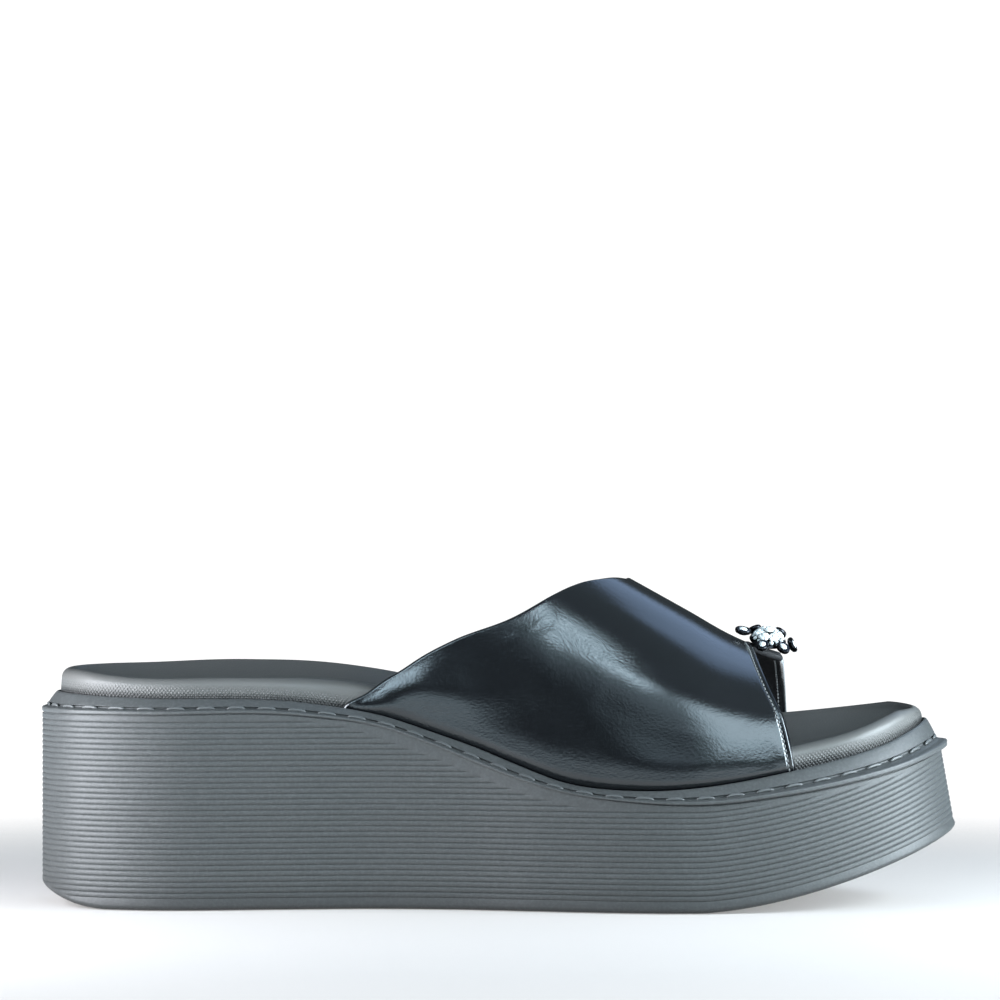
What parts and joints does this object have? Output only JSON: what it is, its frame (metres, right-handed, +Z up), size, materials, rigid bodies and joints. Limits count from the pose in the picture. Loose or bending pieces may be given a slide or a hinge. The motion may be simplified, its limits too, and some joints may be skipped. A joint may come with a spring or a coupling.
{
  "type": "platform slide mule",
  "caption": "Open-toe, open-back platform wedge mule for the right foot, with a ribbed sole, moulded welt, padded footbed and one broad polished upper with a small jewelled flower.",
  "frame": {"origin": "on the floor, under the middle of the whole shoe's box", "axes": "+X to the toe, +Y to the medial (big toe) side, +Z up"},
  "size_m": [0.2559, 0.087, 0.0907],
  "materials": {
    "sole_rubber": "matte, finely ribbed",
    "welt_rubber": "matte, stitched",
    "footbed_cover": "matte, fine grain",
    "upper_leather": "polished black",
    "ornament_metal": "dark plated",
    "ornament_stone": "cut and polished"
  },
  "bodies": {
    "root": {"sole": "sole_rubber", "welt": "welt_rubber", "footbed": "footbed_cover", "upper": "upper_leather", "ornament_setting": "ornament_metal", "ornament_petal_1": "ornament_stone", "ornament_petal_2": "ornament_stone", "ornament_petal_3": "ornament_stone", "ornament_petal_4": "ornament_stone", "ornament_petal_5": "ornament_stone", "ornament_petal_6": "ornament_stone", "ornament_bead_1": "ornament_stone", "ornament_bead_2": "ornament_stone", "ornament_bead_3": "ornament_stone", "ornament_bead_4": "ornament_stone", "ornament_bead_5": "ornament_stone", "ornament_bead_6": "ornament_stone", "ornament_crown": "ornament_stone"}
  },
  "joints": []
}
